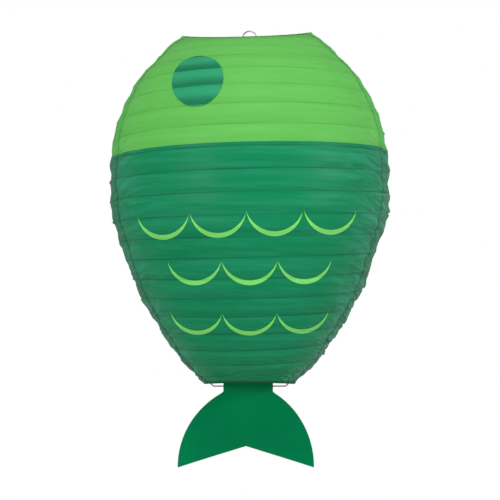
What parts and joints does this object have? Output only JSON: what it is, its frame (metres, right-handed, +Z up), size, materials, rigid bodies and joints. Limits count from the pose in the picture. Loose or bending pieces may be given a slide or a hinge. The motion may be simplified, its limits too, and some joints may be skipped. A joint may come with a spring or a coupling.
{
  "type": "fish-shaped hanging paper lantern",
  "caption": "Fish-shaped paper lantern with a spiral wire rib, pasted eye and scales, a card tail, and a wire expander frame with a hanging loop.",
  "frame": {"origin": "inside top of the hanging loop, where a hook or thread bears", "axes": "+Z up, along the lantern; -Y towards the printed front; +X to the viewer's right; the expander frame lies in the XZ plane"},
  "size_m": [0.2992, 0.2992, 0.4735],
  "materials": {
    "light_paper": "matte translucent tissue",
    "dark_paper": "matte translucent tissue",
    "scale_paper": "matte translucent tissue",
    "tail_card": "smooth coated card",
    "wire": "drawn wire"
  },
  "bodies": {
    "expander": {"expander_frame": "wire", "bottom_ring": "wire", "bottom_hem": "dark_paper"},
    "shell": {"top_ring": "wire", "top_hem": "light_paper", "rib_spiral": "wire", "head_paper_front": "light_paper", "head_paper_back": "light_paper", "body_paper_front": "dark_paper", "body_paper_back": "dark_paper", "eye_front": "dark_paper", "eye_back": "dark_paper", "scale_front_1": "scale_paper", "scale_front_2": "scale_paper", "scale_front_3": "scale_paper", "scale_front_4": "scale_paper", "scale_front_5": "scale_paper", "scale_front_6": "scale_paper", "scale_front_7": "scale_paper", "scale_front_8": "scale_paper", "scale_front_9": "scale_paper", "scale_front_10": "scale_paper", "scale_back_1": "scale_paper", "scale_back_2": "scale_paper", "scale_back_3": "scale_paper", "scale_back_4": "scale_paper", "scale_back_5": "scale_paper", "scale_back_6": "scale_paper", "scale_back_7": "scale_paper", "scale_back_8": "scale_paper", "scale_back_9": "scale_paper", "scale_back_10": "scale_paper"},
    "tail": {"tail": "tail_card", "tail_strap": "tail_card"}
  },
  "joints": [
    {"name": "shell_collapse", "type": "slide", "parent": "expander", "child": "shell", "axis": [0, 0, -1], "range_m": [0, 0.33], "deforming": ["rib_spiral", "head_paper_front", "head_paper_back", "body_paper_front", "body_paper_back", "eye_front", "eye_back", "scale_front_1", "scale_front_2", "scale_front_3", "scale_front_4", "scale_front_5", "scale_front_6", "scale_front_7", "scale_front_8", "scale_front_9", "scale_front_10", "scale_back_1", "scale_back_2", "scale_back_3", "scale_back_4", "scale_back_5", "scale_back_6", "scale_back_7", "scale_back_8", "scale_back_9", "scale_back_10"]},
    {"name": "tail_swing", "type": "hinge", "parent": "expander", "child": "tail", "pos_m": [0, 0, -0.3845], "axis": [1, 0, 0], "range_deg": [-80, 80]}
  ]
}
